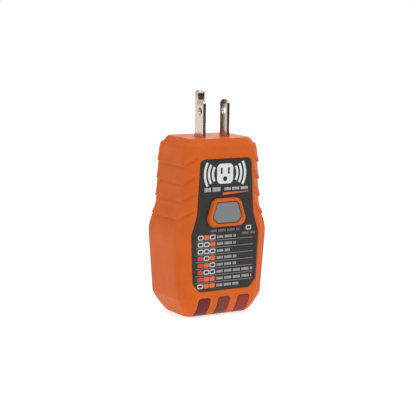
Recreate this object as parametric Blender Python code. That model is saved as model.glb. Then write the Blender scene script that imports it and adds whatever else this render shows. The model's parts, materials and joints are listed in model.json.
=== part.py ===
"""Outlet tester plug: a three-prong receptacle tester in a hand-sized housing.

Frame: +X right and -Y towards the user when the label is read, +Z up through the prongs.
The origin is under the middle of the housing, on the surface its lower end stands on.
Lengths below are in millimetres; add_object turns them into metres.
"""

import math

import bmesh
import bpy
from mathutils import Matrix, Vector

MM = 0.001
GAP = 0.3  # clearance between pieces that touch on the real object

# Housing envelope
BODY_HEIGHT = 82.6
FRONT_Y = -14.2
BACK_Y = 16.5
WALL = 2.2
TOP_WALL = 5.2
FLOOR_WALL = 2.4
UPPER_HALF = 19.5  # half width where the grip starts
UPPER_TAPER = 0.062  # growth per millimetre downwards
LOWER_HALF = 24.65  # half width at the widest level
LOWER_TAPER = 0.082  # shrink per millimetre downwards
GRIP_TOP_Z = 76.0
FLARE_TOP_Z = 52.0
WIDEST_Z = 37.0
CHAMFER_X = (5.2, 6.1)  # front edge chamfer, grip and lower body
CHAMFER_Y = (4.4, 3.7)
BACK_RADIUS = 3.0
# Rounded lower end: height, inset and fullness of each side
FOOT_SIDE = (9.4, 5.3, 1.08)
FOOT_FRONT = (9.6, 6.6, 1.5)
FOOT_BACK = (6.5, 4.0, 1.6)
FOOT_CHAMFER = 0.6  # share of the front edge chamfer lost at the lower end
# Stepped collar under the plug face: level, side inset, front inset, back inset
COLLAR = (
    (BODY_HEIGHT, 5.0, 3.2, 3.0),
    (82.3, 4.0, 2.3, 2.4),
    (81.6, 3.3, 1.7, 2.0),
    (80.2, 2.1, 1.1, 1.6),
    (79.8, 0.9, 0.5, 0.7),
    (78.8, 0.3, 0.15, 0.25),
)

# Grip ribs
RIB_COUNT = 4
RIB_PITCH = 8.1
RIB_FIRST_Z = 71.1  # crest of the top rib on the side wall
RIB_HEIGHT = 0.75
CHEVRON_RISE = 3.8  # how far a rib climbs across the front chamfer
CHEVRON_FADE = (79.0, 70.5, 45.0, 38.0)  # levels between which the climb grows, holds and ends
# Level over the crest and share of the rib's height
RIB_PROFILE = ((2.4, 0.45), (0.0, 1.0), (-0.5, 0.85), (-1.7, 0.0))
LOWER_LEVELS = (40.5, WIDEST_Z, 33.0, 25.0, 17.0, 11.8)
FOOT_LEVELS = (9.3, 7.0, 4.8, 3.0, 1.6, 0.6)
CAVITY_LEVELS = (BODY_HEIGHT - TOP_WALL, 68.0, 56.0, 50.0, 44.5, WIDEST_Z, 25.0, 12.0, 7.5, 4.5, FLOOR_WALL)

# Front label and the button's surround
LABEL_THICK = 0.35
# Right half from the top down: x, z and radius of each corner
LABEL_OUTLINE = (
    (13.4, 73.5, 2.5),
    (14.9, 47.9, 6.0),
    (17.8, 39.1, 6.0),
    (16.8, 16.7, 2.0),
    (13.2, 12.9, 1.2),
)
BUTTON_Z = 49.1
SURROUND_HEIGHT = 2.3
SURROUND_EASE = 0.6  # rounding of the surround's front edge
# Top width, bottom width, height and corner radius
SURROUND_SIZE = (13.8, 20.4, 12.9, 3.4)
BUTTON_SIZE = (10.9, 15.8, 9.7, 1.5)
BUTTON_CUT = 2.6  # lower corners of the button and its surround
BUTTON_RECESS = 0.5
BUTTON_EDGE = (0.7, 0.5)  # rounding of the cap's face: inwards and backwards
BUTTON_LIP = 1.3
BUTTON_LIP_THICK = 1.1

# Indicator lenses
LENS_PITCH = 10.5
LENS_WIDTH = 6.3
LENS_TOP_Z = 9.5
LENS_LOW_Z = 0.08
LENS_THICK = 2.0
LENS_BACK = (0.75, 0.66)  # direction of the lens's thickness in the rounded part, along Y and Z
WINDOW_EDGE = 0.15  # what a lens window takes off the flat underside

# Standard three-prong plug
BLADE_Y = -1.7
BLADE_SPACING = 12.7
BLADE_WIDTH = 6.35
BLADE_THICK = 1.5
BLADE_LENGTH = 17.1
BLADE_TIP_RADIUS = 1.9
BLADE_SHOULDER = 1.1  # how far a shoulder stands out on each side of a blade
BLADE_HOLE_RADIUS = 1.7
BLADE_HOLE_HEIGHT = 11.8
TAIL_HALF = 1.6
PIN_OFFSET = 11.9
PIN_RADIUS = 2.375
PIN_LENGTH = 20.7
PIN_DOME = 1.5
PIN_TIP_RADIUS = 0.5
PIN_SHOULDER_RADIUS = 3.0
PIN_TAIL_RADIUS = 1.5

# Inside
CARRIER_Z = (70.1, 77.1)
RETAINER_Z = (66.2, 68.3)
TAIL_Z = 64.2
CARRIER_HALF = 12.5
CARRIER_Y = (-7.0, 13.5)
COVER_THICK = 2.4
COVER_OUTLINE = ((14.3, 74.0, 3.0), (15.4, 53.0, 8.0), (19.3, 39.0, 8.0), (18.0, 9.5, 3.0))
RATING_SIZE = (22.0, 26.0)
RATING_Z = 33.0
BOSS_RADIUS = 2.3
BOSS_BORE = (1.3, 2.0)  # radius and where it ends
BOSS_PLACES = ((-11.6, 63.5), (11.6, 63.5), (-15.5, 20.5), (15.5, 20.5))
BOARD_HALF = 12.8
BOARD_Y = (-1.6, 0.0)
BOARD_Z = (4.5, 60.0)
POST_RADIUS = 2.0
POST_BORE = (1.2, -9.0)
POST_PLACES = ((-9.8, 57.0), (9.8, 57.0), (0.0, 25.0))
BOARD_HOLE_RADIUS = 1.5
LED_Z = 8.4
LED_RADIUS = 2.5
LED_RIM = (0.3, 1.0)  # how far the rim stands out, and its thickness
LED_BARREL = 5.8
LED_LENGTH = 8.2
BAFFLE_HALF_HEIGHT = 3.5
BAFFLE_SIDE = ((3.8, -3.2), (3.8, -5.6), (0.8, -8.4))  # corners beyond the outer LED: x and y

# Momentary switch behind the button
SWITCH_HALF = 4.6
SWITCH_FRONT_Y = -7.4
SWITCH_FLOOR = 0.8
SWITCH_WELL_RADIUS = 3.7
SWITCH_COVER = (0.8, 2.3)  # thickness and radius of the plunger's hole
PLUNGER_RADIUS = 2.0
PLUNGER_FLANGE = (3.2, 0.4, 1.4)  # radius, start and end behind the switch's front
PLUNGER_STEM = (1.3, 2.0)  # radius and end behind the switch's front
SPRING_RADIUS = 2.4
SPRING_WIRE = 0.22
SPRING_TURNS = 3.5
SPRING_STEPS = 14  # points in one turn
SPRING_SEAT = 0.25  # from the end of the spring's axis to the face it bears on, besides the gap

# Leads from the prongs to the board
WIRE_RADIUS = 0.9
WIRE_BEND_Y = 6.0
WIRE_BOARD_Z = 53.0
GROUND_BOARD_Z = 50.5

# Parts on the back of the board. Blocks: colour, centre x and z, width, depth and height, corner radius
BLOCKS = {
    "film_capacitor": ("red", (-4.0, 43.5), (14.0, 10.0, 6.5), 0.8),
    "rectifier": ("black", (-6.0, 18.0), (8.5, 2.6, 6.4), 0.4),
    "transmitter_transistor": ("black", (7.0, 18.5), (8.0, 10.5, 3.2), 0.4),
    "controller_chip": ("black", (0.0, 10.5), (10.0, 1.8, 4.0), 0.2),
}
# Turned parts: profiles of (radius, distance along the axis)
ELECTROLYTIC_PLACE = (8.0, 42.5)
ELECTROLYTIC_PROFILE = ((3.6, 0.0), (4.0, 0.6), (4.0, 11.4), (3.5, 11.8))
RESISTOR_PROFILE = ((0.4, -11.6), (0.4, -9.9), (1.9, -9.5), (1.9, -1.5), (0.4, -1.1), (0.4, 0.6))
# Lying along X: colour, radius that rests on the board, level, profile
LYING_PARTS = {
    "varistor": ("blue", 4.6, 31.0, ((3.6, 6.2), (4.6, 7.0), (4.6, 9.4), (3.6, 10.2))),
    "power_resistor_1": ("blue", 1.9, 35.0, RESISTOR_PROFILE),
    "power_resistor_2": ("blue", 1.9, 29.0, RESISTOR_PROFILE),
    "fuse": ("white", 2.6, 24.0, ((2.2, 2.6), (2.6, 2.9), (2.6, 12.1), (2.2, 12.4))),
}

# Screws: head radius, head height, shank radius, length
HOUSING_SCREW = (2.2, 1.5, 0.95, 11.0)
HOUSING_SCREW_DEPTH = 0.1
SCREW_SINK = (2.6, 1.9)  # radius and depth of the recess for a housing screw's head
SCREW_SINK_HOLE = 1.5
BOARD_SCREW = (1.9, 1.2, 0.85, 7.0)
SCREW_POINT = (0.5, 1.2)  # radius and length
SCREW_HEAD_EASE = (0.5, 0.45)
CROSS_SHARE = (0.62, 0.16)  # arm length and half width against the head's radius
CROSS_DEPTH = 0.8


# ---------------------------------------------------------------- materials


def material(name, colour, roughness, metallic=0.0, alpha=1.0):
    made = bpy.data.materials.new(name)
    made.use_nodes = True
    shader = made.node_tree.nodes["Principled BSDF"]
    shader.inputs["Base Color"].default_value = (*colour, 1.0)
    shader.inputs["Roughness"].default_value = roughness
    shader.inputs["Metallic"].default_value = metallic
    shader.inputs["Alpha"].default_value = alpha
    made.diffuse_color = (*colour, 1.0)
    return made


def make_materials():
    return {
        "orange": material("orange_housing", (0.72, 0.18, 0.04), 0.5),
        "label": material("label_film", (0.05, 0.048, 0.045), 0.45),
        "grey": material("grey_button", (0.22, 0.225, 0.24), 0.45),
        "red": material("red_lens", (0.30, 0.02, 0.03), 0.2, 0.0, 0.8),
        "amber": material("amber_lens", (0.42, 0.12, 0.03), 0.2, 0.0, 0.8),
        "nickel": material("nickel_plate", (0.72, 0.68, 0.63), 0.25, 1.0),
        "steel": material("zinc_steel", (0.55, 0.55, 0.56), 0.35, 1.0),
        "black": material("black_plastic", (0.02, 0.02, 0.022), 0.5),
        "white": material("white_plastic", (0.75, 0.75, 0.72), 0.5),
        "board": material("board_laminate", (0.03, 0.20, 0.07), 0.4),
        "blue": material("blue_coating", (0.04, 0.12, 0.42), 0.4),
        "paper": material("rating_film", (0.62, 0.62, 0.60), 0.5),
        "green": material("green_insulation", (0.05, 0.33, 0.10), 0.45),
    }


# ---------------------------------------------------------------- mesh helpers


def clear_scene():
    for old in list(bpy.data.objects):
        bpy.data.objects.remove(old, do_unlink=True)


def add_object(name, shape, finish, smooth_degrees=None):
    bmesh.ops.recalc_face_normals(shape, faces=shape.faces)
    bmesh.ops.scale(shape, vec=(MM, MM, MM), verts=shape.verts)
    mesh = bpy.data.meshes.new(name)
    shape.to_mesh(mesh)
    shape.free()
    if finish is not None:
        mesh.materials.append(finish)
    if smooth_degrees is not None:
        mesh.shade_smooth()
        mesh.set_sharp_from_angle(angle=math.radians(smooth_degrees))
    made = bpy.data.objects.new(name, mesh)
    bpy.context.scene.collection.objects.link(made)
    return made


def loft(shape, rings):
    """Closed body through rings of equally many points."""
    rows = [[shape.verts.new(point) for point in ring] for ring in rings]
    for low, high in zip(rows, rows[1:]):
        for i in range(len(low)):
            j = (i + 1) % len(low)
            shape.faces.new((low[i], low[j], high[j], high[i]))
    shape.faces.new(rows[0][::-1])
    shape.faces.new(rows[-1])


def at(axis, u, v, along):
    """A point of an outline (u, v) placed at a distance along X, Y or Z."""
    return {"X": (along, u, v), "Y": (u, along, v), "Z": (u, v, along)}[axis]


def prism(shape, outline, axis, low, high):
    loft(shape, [[at(axis, u, v, along) for u, v in outline] for along in (low, high)])


def box(shape, low, high):
    outline = [(low[0], low[1]), (high[0], low[1]), (high[0], high[1]), (low[0], high[1])]
    prism(shape, outline, "Z", low[2], high[2])


def circle(centre, radius, steps):
    turn = 2 * math.pi / steps
    u, v = centre
    return [(u + radius * math.cos(i * turn), v + radius * math.sin(i * turn)) for i in range(steps)]


def cylinder(shape, axis, centre, radius, low, high, steps=20):
    prism(shape, circle(centre, radius, steps), axis, low, high)


def turned(shape, axis, centre, profile, steps=20):
    """Closed turned body; profile holds (radius, distance along the axis) from one end to the other."""
    rings = []
    for radius, along in profile:
        rings.append([at(axis, u, v, along) for u, v in circle(centre, radius, steps)])
    loft(shape, rings)


def rounded(corners, steps=4):
    """Outline with each corner (x, y, radius) replaced by an arc."""
    outline = []
    for i, (x, y, radius) in enumerate(corners):
        here = Vector((x, y))
        back = (Vector(corners[i - 1][:2]) - here).normalized()
        on = (Vector(corners[(i + 1) % len(corners)][:2]) - here).normalized()
        half_angle = back.angle(on) / 2
        reach = radius / math.tan(half_angle)
        middle = here + (back + on).normalized() * (radius / math.sin(half_angle))
        start = here + back * reach - middle
        end = here + on * reach - middle
        sweep = start.angle_signed(end)
        for k in range(steps + 1):
            turn = Matrix.Rotation(-sweep * k / steps, 2)
            outline.append(tuple(middle + turn @ start))
    return outline


def mirrored(half):
    """Both halves of an outline given by its corners at +X, listed downwards."""
    return list(half) + [(-x, z, radius) for x, z, radius in reversed(half)]


def grown(half, by):
    """Half outline corners moved outwards by a clearance."""
    top, low = half[0][1], half[-1][1]
    return [
        (x + by, z + (by if z == top else -by if z == low else 0.0), max(radius + by, 0.4))
        for x, z, radius in half
    ]


def trapezoid(size, by=0.0):
    """Half outline of the button or its surround, grown by a distance."""
    top, bottom, height, radius = size
    return [
        (top / 2 + by, BUTTON_Z + height / 2 + by, radius + by),
        (bottom / 2 + by, BUTTON_Z - height / 2 + BUTTON_CUT, radius + by),
        (bottom / 2 - BUTTON_CUT + by * 0.4, BUTTON_Z - height / 2 - by, radius * 0.7 + by),
    ]


def combine(target, tool, operation):
    """Boolean with a tool that stays in the scene as a hidden guide."""
    tool.hide_render = True
    tool.display_type = "WIRE"
    step = target.modifiers.new(tool.name, "BOOLEAN")
    step.operation = operation
    step.solver = "EXACT"
    step.object = tool


def guide(name, build):
    shape = bmesh.new()
    build(shape)
    return add_object(name, shape, None)


# ---------------------------------------------------------------- housing surface


def smoothstep(t):
    t = min(max(t, 0.0), 1.0)
    return t * t * (3 - 2 * t)


def rounding(depth, foot):
    """How far a side has come in at a depth below the start of its rounded end."""
    height, inset, fullness = foot
    t = min(max(depth / height, 0.0), 1.0)
    return inset * (1 - (1 - t**fullness) ** (1 / fullness))


def lower_share(z):
    return smoothstep((FLARE_TOP_Z - z) / (FLARE_TOP_Z - WIDEST_Z))


def half_width(z):
    share = lower_share(z)
    upper = UPPER_HALF + (GRIP_TOP_Z - z) * UPPER_TAPER
    lower = LOWER_HALF - (WIDEST_Z - z) * LOWER_TAPER
    return upper * (1 - share) + lower * share - rounding(FOOT_SIDE[0] - z, FOOT_SIDE)


def chevron_share(z):
    top, full, hold, low = CHEVRON_FADE
    return smoothstep((top - z) / (top - full)) * smoothstep((z - low) / (hold - low))


def half_section(z, side=0.0, front=0.0, back=0.0, rib=0.0, climb=CHEVRON_RISE):
    """Points (x, y, z) of the right half at one level, from the front rim round to the back."""
    share = lower_share(z)
    size = (1 - 0.05 * side) * (1 - FOOT_CHAMFER * smoothstep(1 - z / FOOT_FRONT[0]))
    chamfer_x = (CHAMFER_X[0] * (1 - share) + CHAMFER_X[1] * share) * size
    chamfer_y = (CHAMFER_Y[0] * (1 - share) + CHAMFER_Y[1] * share) * size
    y_front = FRONT_Y + front + rounding(FOOT_FRONT[0] - z, FOOT_FRONT)
    y_back = BACK_Y - back - rounding(FOOT_BACK[0] - z, FOOT_BACK)
    points = []
    # Across the front chamfer the ribs climb towards the rim and fade out
    for across, height in ((0.0, 0.0), (0.45, 0.8), (0.88, 1.0)):
        level = z + climb * chevron_share(z) * (1 - across)
        x = half_width(level) - side - chamfer_x * (1 - across)
        points.append((x + rib * height * 0.7, y_front + chamfer_y * across - rib * height * 0.7, level))
    x = half_width(z) - side + rib
    y_corner = y_back - BACK_RADIUS
    points.append((x, y_front + chamfer_y + 0.8, z))
    points.append((x, y_corner, z))
    for degrees in (30, 60):
        turn = math.radians(degrees)
        reach = BACK_RADIUS + rib * (1 - degrees / 90)
        x_arc = half_width(z) - side - BACK_RADIUS + reach * math.cos(turn)
        points.append((x_arc, y_corner + reach * math.sin(turn), z))
    points.append((half_width(z) - side - BACK_RADIUS, y_back, z))
    return points


def ring_of(half):
    return half + [(-x, y, z) for x, y, z in reversed(half)]


def rib_levels():
    """Levels and rib heights down the grip: each rib swells to a crest and steps back in."""
    levels = [(GRIP_TOP_Z, 0.0)]
    for i in range(RIB_COUNT):
        crest = RIB_FIRST_Z - i * RIB_PITCH
        levels += [(crest + over, RIB_HEIGHT * share) for over, share in RIB_PROFILE]
    return levels


def outer_rings():
    rings = [ring_of(half_section(z, side, front, back)) for z, side, front, back in COLLAR]
    rings += [ring_of(half_section(z, rib=rib)) for z, rib in rib_levels()]
    rings += [ring_of(half_section(z)) for z in (*LOWER_LEVELS, *FOOT_LEVELS, 0.0)]
    return rings


def cavity_rings():
    """Inner surface, one wall inside the outer one and without ribs."""
    return [ring_of(half_section(z, WALL, WALL, WALL, climb=0.0)) for z in CAVITY_LEVELS]


# ---------------------------------------------------------------- housing pieces


def lens_outline():
    """Lens section in the YZ plane: it follows the rounded front of the lower end."""
    levels = (LENS_TOP_Z, *FOOT_LEVELS, LENS_LOW_Z)
    outer = [(FRONT_Y + rounding(FOOT_FRONT[0] - z, FOOT_FRONT), z) for z in levels]
    step_y, step_z = LENS_THICK * LENS_BACK[0], LENS_THICK * LENS_BACK[1]
    inner = [(y + step_y, z + step_z) for y, z in reversed(outer[2:])]
    return outer + inner + [(FRONT_Y + LENS_THICK, LENS_TOP_Z)]


def window_outline():
    """Opening for a lens in the YZ plane, which runs out through the bottom edge."""
    margin, top = 1.0, LENS_TOP_Z + GAP
    edge_y = FRONT_Y + FOOT_FRONT[1] + WINDOW_EDGE
    lean = LENS_BACK[0] / LENS_BACK[1]
    inside = FLOOR_WALL + margin
    return [
        (FRONT_Y - margin, top),
        (FRONT_Y - margin, -margin),
        (edge_y - margin * lean, -margin),
        (edge_y + inside * lean, inside),
        (FRONT_Y + WALL + LENS_THICK + margin, top),
    ]


def lens_centres():
    return {"red_lens": -LENS_PITCH, "amber_lens_middle": 0.0, "amber_lens_right": LENS_PITCH}


def make_front_shell(finish):
    shape = bmesh.new()
    loft(shape, outer_rings())
    shell = add_object("front_shell", shape, finish["orange"], 40)
    floor_y = FRONT_Y + LABEL_THICK + GAP

    def label_pocket(cut):
        outline = rounded(mirrored(grown(LABEL_OUTLINE, GAP)))
        prism(cut, outline, "Y", FRONT_Y - 1.0, floor_y)

    def surround(add):
        outer = rounded(mirrored(trapezoid(SURROUND_SIZE)))
        eased = rounded(mirrored(trapezoid(SURROUND_SIZE, -SURROUND_EASE)))
        front = FRONT_Y - SURROUND_HEIGHT
        stages = ((eased, front), (outer, front + SURROUND_EASE), (outer, floor_y + 0.5))
        loft(add, [[(x, y, z) for x, z in line] for line, y in stages])

    def cavity(cut):
        loft(cut, cavity_rings())

    def rear_opening(cut):
        prism(cut, rounded(mirrored(grown(COVER_OUTLINE, GAP))), "Y", BACK_Y - WALL - 1.5, BACK_Y + 1.0)

    def bosses(add):
        root_y = FRONT_Y + WALL - 0.6
        for place in BOSS_PLACES:
            cylinder(add, "Y", place, BOSS_RADIUS, root_y, BACK_Y - COVER_THICK - GAP)
        for place in POST_PLACES:
            cylinder(add, "Y", place, POST_RADIUS, root_y, BOARD_Y[0] - GAP)

    def openings(cut):
        prism(cut, rounded(mirrored(trapezoid(BUTTON_SIZE, GAP))), "Y", FRONT_Y - 5.0, FRONT_Y + WALL + 2.0)
        for centre in lens_centres().values():
            half = LENS_WIDTH / 2 + GAP
            prism(cut, window_outline(), "X", centre - half, centre + half)
        inside, outside = BODY_HEIGHT - TOP_WALL - 1.0, BODY_HEIGHT + 1.0
        reach_x, reach_y = BLADE_THICK / 2 + GAP, BLADE_WIDTH / 2 + GAP
        for x in (-BLADE_SPACING / 2, BLADE_SPACING / 2):
            box(cut, (x - reach_x, BLADE_Y - reach_y, inside), (x + reach_x, BLADE_Y + reach_y, outside))
        cylinder(cut, "Z", (0.0, BLADE_Y + PIN_OFFSET), PIN_RADIUS + GAP, inside, outside, 24)
        for place in BOSS_PLACES:
            cylinder(cut, "Y", place, *BOSS_BORE, BACK_Y, 12)
        for place in POST_PLACES:
            cylinder(cut, "Y", place, *POST_BORE, BOARD_Y[1], 12)

    combine(shell, guide("label_pocket_cut", label_pocket), "DIFFERENCE")
    combine(shell, guide("surround_add", surround), "UNION")
    combine(shell, guide("cavity_cut", cavity), "DIFFERENCE")
    combine(shell, guide("rear_opening_cut", rear_opening), "DIFFERENCE")
    combine(shell, guide("boss_add", bosses), "UNION")
    combine(shell, guide("openings_cut", openings), "DIFFERENCE")


def make_rear_cover(finish):
    shape = bmesh.new()
    prism(shape, rounded(mirrored(COVER_OUTLINE)), "Y", BACK_Y - COVER_THICK, BACK_Y)
    cover = add_object("rear_cover", shape, finish["orange"])
    half_x, half_z = RATING_SIZE[0] / 2 + GAP, RATING_SIZE[1] / 2 + GAP

    def recesses(cut):
        low = (-half_x, BACK_Y - LABEL_THICK - GAP, RATING_Z - half_z)
        box(cut, low, (half_x, BACK_Y + 1.0, RATING_Z + half_z))
        sink_radius, sink_depth = SCREW_SINK
        seat = BACK_Y - sink_depth
        profile = [(SCREW_SINK_HOLE, BACK_Y - COVER_THICK - 1.0), (SCREW_SINK_HOLE, seat)]
        profile += [(sink_radius, seat), (sink_radius, BACK_Y + 1.0)]
        for place in BOSS_PLACES:
            turned(cut, "Y", place, profile)

    combine(cover, guide("cover_recess_cut", recesses), "DIFFERENCE")
    shape = bmesh.new()
    half_x, half_z = RATING_SIZE[0] / 2, RATING_SIZE[1] / 2
    box(shape, (-half_x, BACK_Y - LABEL_THICK, RATING_Z - half_z), (half_x, BACK_Y, RATING_Z + half_z))
    add_object("rating_label", shape, finish["paper"])


def make_faceplate_label(finish):
    shape = bmesh.new()
    prism(shape, rounded(mirrored(LABEL_OUTLINE)), "Y", FRONT_Y, FRONT_Y + LABEL_THICK)
    label = add_object("faceplate_label", shape, finish["label"])

    def hole(cut):
        prism(cut, rounded(mirrored(trapezoid(SURROUND_SIZE, GAP))), "Y", FRONT_Y - 1.0, FRONT_Y + 1.0)

    combine(label, guide("label_hole_cut", hole), "DIFFERENCE")


def make_lenses(finish):
    for name, centre in lens_centres().items():
        shape = bmesh.new()
        prism(shape, lens_outline(), "X", centre - LENS_WIDTH / 2, centre + LENS_WIDTH / 2)
        add_object(name, shape, finish["red" if name == "red_lens" else "amber"], 40)


def make_test_button(finish):
    """Cap in the surround with a wider lip inside that keeps it in the housing."""
    front = FRONT_Y - SURROUND_HEIGHT + BUTTON_RECESS
    lip_y = FRONT_Y + WALL + GAP
    stages = [(-BUTTON_EDGE[0], front), (0.0, front + BUTTON_EDGE[1]), (0.0, lip_y)]
    stages += [(BUTTON_LIP, lip_y), (BUTTON_LIP, lip_y + BUTTON_LIP_THICK)]
    rings = []
    for by, y in stages:
        rings.append([(x, y, z) for x, z in rounded(mirrored(trapezoid(BUTTON_SIZE, by)))])
    shape = bmesh.new()
    loft(shape, rings)
    add_object("test_button", shape, finish["grey"], 40)


# ---------------------------------------------------------------- prongs


def make_prongs(finish):
    base = BODY_HEIGHT
    half = BLADE_WIDTH / 2
    shoulder_z = CARRIER_Z[0] - GAP
    tail_z = RETAINER_Z[1] + GAP
    wide = half + BLADE_SHOULDER
    side = ((half, base + BLADE_LENGTH, BLADE_TIP_RADIUS), (half, shoulder_z, 0.2), (wide, shoulder_z, 0.2))
    side += ((wide, tail_z, 0.2), (TAIL_HALF, tail_z, 0.2), (TAIL_HALF, TAIL_Z, 0.3))
    outline = [(BLADE_Y + u, v) for u, v in rounded(mirrored(side))]
    for name, sign in (("neutral_blade", -1), ("line_blade", 1)):
        x = sign * BLADE_SPACING / 2
        shape = bmesh.new()
        prism(shape, outline, "X", x - BLADE_THICK / 2, x + BLADE_THICK / 2)
        blade = add_object(name, shape, finish["nickel"])

        def hole(cut, x=x):
            centre = (BLADE_Y, base + BLADE_HOLE_HEIGHT)
            cylinder(cut, "X", centre, BLADE_HOLE_RADIUS, x - 2.0, x + 2.0, 20)

        combine(blade, guide(name + "_hole_cut", hole), "DIFFERENCE")
    tip = base + PIN_LENGTH
    profile = [(PIN_TAIL_RADIUS, TAIL_Z), (PIN_TAIL_RADIUS, tail_z), (PIN_SHOULDER_RADIUS, tail_z)]
    profile += [(PIN_SHOULDER_RADIUS, shoulder_z), (PIN_RADIUS, shoulder_z)]
    for degrees in (0, 30, 55, 75, 90):
        turn = math.radians(degrees)
        radius = PIN_TIP_RADIUS + (PIN_RADIUS - PIN_TIP_RADIUS) * math.cos(turn)
        profile.append((radius, tip - PIN_DOME + PIN_DOME * math.sin(turn)))
    shape = bmesh.new()
    turned(shape, "Z", (0.0, BLADE_Y + PIN_OFFSET), profile, 24)
    add_object("ground_pin", shape, finish["nickel"], 40)


def make_prong_holders(finish):
    """The insulating block behind the plug face and the plate that locks the prongs' shoulders."""
    for name, (low, high), slot_half, pin_hole in (
        ("prong_carrier", CARRIER_Z, BLADE_WIDTH / 2 + GAP, PIN_RADIUS + GAP),
        ("prong_retainer", RETAINER_Z, TAIL_HALF + GAP, PIN_TAIL_RADIUS + GAP),
    ):
        shape = bmesh.new()
        corners = [(CARRIER_HALF, CARRIER_Y[0], 1.5), (CARRIER_HALF, CARRIER_Y[1], 1.5)]
        prism(shape, rounded(mirrored(corners), 3), "Z", low, high)
        holder = add_object(name, shape, finish["black"])

        def slots(cut, low=low, high=high, slot_half=slot_half, pin_hole=pin_hole):
            for sign in (-1, 1):
                x = sign * BLADE_SPACING / 2
                reach = BLADE_THICK / 2 + GAP
                start = (x - reach, BLADE_Y - slot_half, low - 1.0)
                box(cut, start, (x + reach, BLADE_Y + slot_half, high + 1.0))
            cylinder(cut, "Z", (0.0, BLADE_Y + PIN_OFFSET), pin_hole, low - 1.0, high + 1.0, 20)

        combine(holder, guide(name + "_slots_cut", slots), "DIFFERENCE")


# ---------------------------------------------------------------- electronics


def make_board(finish):
    shape = bmesh.new()
    box(shape, (-BOARD_HALF, BOARD_Y[0], BOARD_Z[0]), (BOARD_HALF, BOARD_Y[1], BOARD_Z[1]))
    board = add_object("circuit_board", shape, finish["board"])

    def holes(cut):
        for place in POST_PLACES:
            cylinder(cut, "Y", place, BOARD_HOLE_RADIUS, BOARD_Y[0] - 1.0, BOARD_Y[1] + 1.0, 12)

    combine(board, guide("board_holes_cut", holes), "DIFFERENCE")


def make_indicators(finish):
    base = BOARD_Y[0] - GAP
    rim_radius, rim_y = LED_RADIUS + LED_RIM[0], base - LED_RIM[1]
    centres = {"red_led": -LENS_PITCH, "amber_led_middle": 0.0, "amber_led_right": LENS_PITCH}
    for name, centre in centres.items():
        profile = [(rim_radius, base), (rim_radius, rim_y), (LED_RADIUS, rim_y)]
        for degrees in (0, 30, 60):
            turn = math.radians(degrees)
            profile.append((LED_RADIUS * math.cos(turn), base - LED_BARREL - LED_RADIUS * math.sin(turn)))
        profile.append((0.5, base - LED_LENGTH))
        shape = bmesh.new()
        turned(shape, "Y", (centre, LED_Z), profile, 16)
        add_object(name, shape, finish["red" if name == "red_led" else "amber"], 40)
    shape = bmesh.new()
    corners = [(LENS_PITCH + x, y, 0.5) for x, y in BAFFLE_SIDE]
    prism(shape, rounded(mirrored(corners), 2), "Z", LED_Z - BAFFLE_HALF_HEIGHT, LED_Z + BAFFLE_HALF_HEIGHT)
    baffle = add_object("light_baffle", shape, finish["white"])

    def tunnels(cut):
        ends = (BAFFLE_SIDE[-1][1] - 1.0, BAFFLE_SIDE[0][1] + 1.0)
        for centre in centres.values():
            cylinder(cut, "Y", (centre, LED_Z), LED_RADIUS + 0.5, *ends, 16)

    combine(baffle, guide("baffle_tunnels_cut", tunnels), "DIFFERENCE")


def make_switch(finish):
    """Momentary push switch on the board: base, spring, plunger and cover."""
    back, front = BOARD_Y[0] - GAP, SWITCH_FRONT_Y
    low, high = BUTTON_Z - SWITCH_HALF, BUTTON_Z + SWITCH_HALF
    centre = (0.0, BUTTON_Z)
    shape = bmesh.new()
    box(shape, (-SWITCH_HALF, front, low), (SWITCH_HALF, back, high))
    base = add_object("switch_base", shape, finish["black"])

    def well(cut):
        cylinder(cut, "Y", centre, SWITCH_WELL_RADIUS, front - 1.0, back - SWITCH_FLOOR, 24)

    combine(base, guide("switch_well_cut", well), "DIFFERENCE")
    thick, hole_radius = SWITCH_COVER
    shape = bmesh.new()
    box(shape, (-SWITCH_HALF, front - GAP - thick, low), (SWITCH_HALF, front - GAP, high))
    cover = add_object("switch_cover", shape, finish["steel"])

    def cover_hole(cut):
        cylinder(cut, "Y", centre, hole_radius, front - 3.0, front + 1.0, 20)

    combine(cover, guide("switch_cover_cut", cover_hole), "DIFFERENCE")
    tip = FRONT_Y + WALL + GAP + BUTTON_LIP_THICK + GAP
    flange_radius, flange_start, flange_end = PLUNGER_FLANGE
    stem_radius, stem_end = PLUNGER_STEM
    profile = [(PLUNGER_RADIUS, tip), (PLUNGER_RADIUS, front + flange_start)]
    profile += [(flange_radius, front + flange_start), (flange_radius, front + flange_end)]
    profile += [(stem_radius, front + flange_end), (stem_radius, front + stem_end)]
    shape = bmesh.new()
    turned(shape, "Y", centre, profile, 20)
    add_object("switch_plunger", shape, finish["white"], 40)
    start = back - SWITCH_FLOOR - GAP - SPRING_SEAT
    end = front + flange_end + GAP + SPRING_SEAT
    coil = []
    count = round(SPRING_TURNS * SPRING_STEPS)
    for i in range(count + 1):
        angle = 2 * math.pi * i / SPRING_STEPS
        y = start + (end - start) * i / count
        coil.append((SPRING_RADIUS * math.cos(angle), y, BUTTON_Z + SPRING_RADIUS * math.sin(angle)))
    make_tube("switch_spring", coil, SPRING_WIRE, finish["steel"], 1)


def make_tube(name, points, radius, finish, resolution=2):
    """Round wire along points, with filled ends."""
    curve = bpy.data.curves.new(name, "CURVE")
    curve.dimensions = "3D"
    curve.bevel_depth = radius * MM
    curve.bevel_resolution = resolution
    curve.use_fill_caps = True
    spline = curve.splines.new("POLY")
    spline.points.add(len(points) - 1)
    for point, (x, y, z) in zip(spline.points, points):
        point.co = (x * MM, y * MM, z * MM, 1.0)
    curve.materials.append(finish)
    made = bpy.data.objects.new(name, curve)
    bpy.context.scene.collection.objects.link(made)


def bezier(points, count):
    """Points along one cubic curve with four control points."""
    a, b, c, d = (Vector(point) for point in points)
    route = []
    for i in range(count + 1):
        t = i / count
        s = 1 - t
        route.append(tuple(a * s**3 + b * 3 * s * s * t + c * 3 * s * t * t + d * t**3))
    return route


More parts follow.
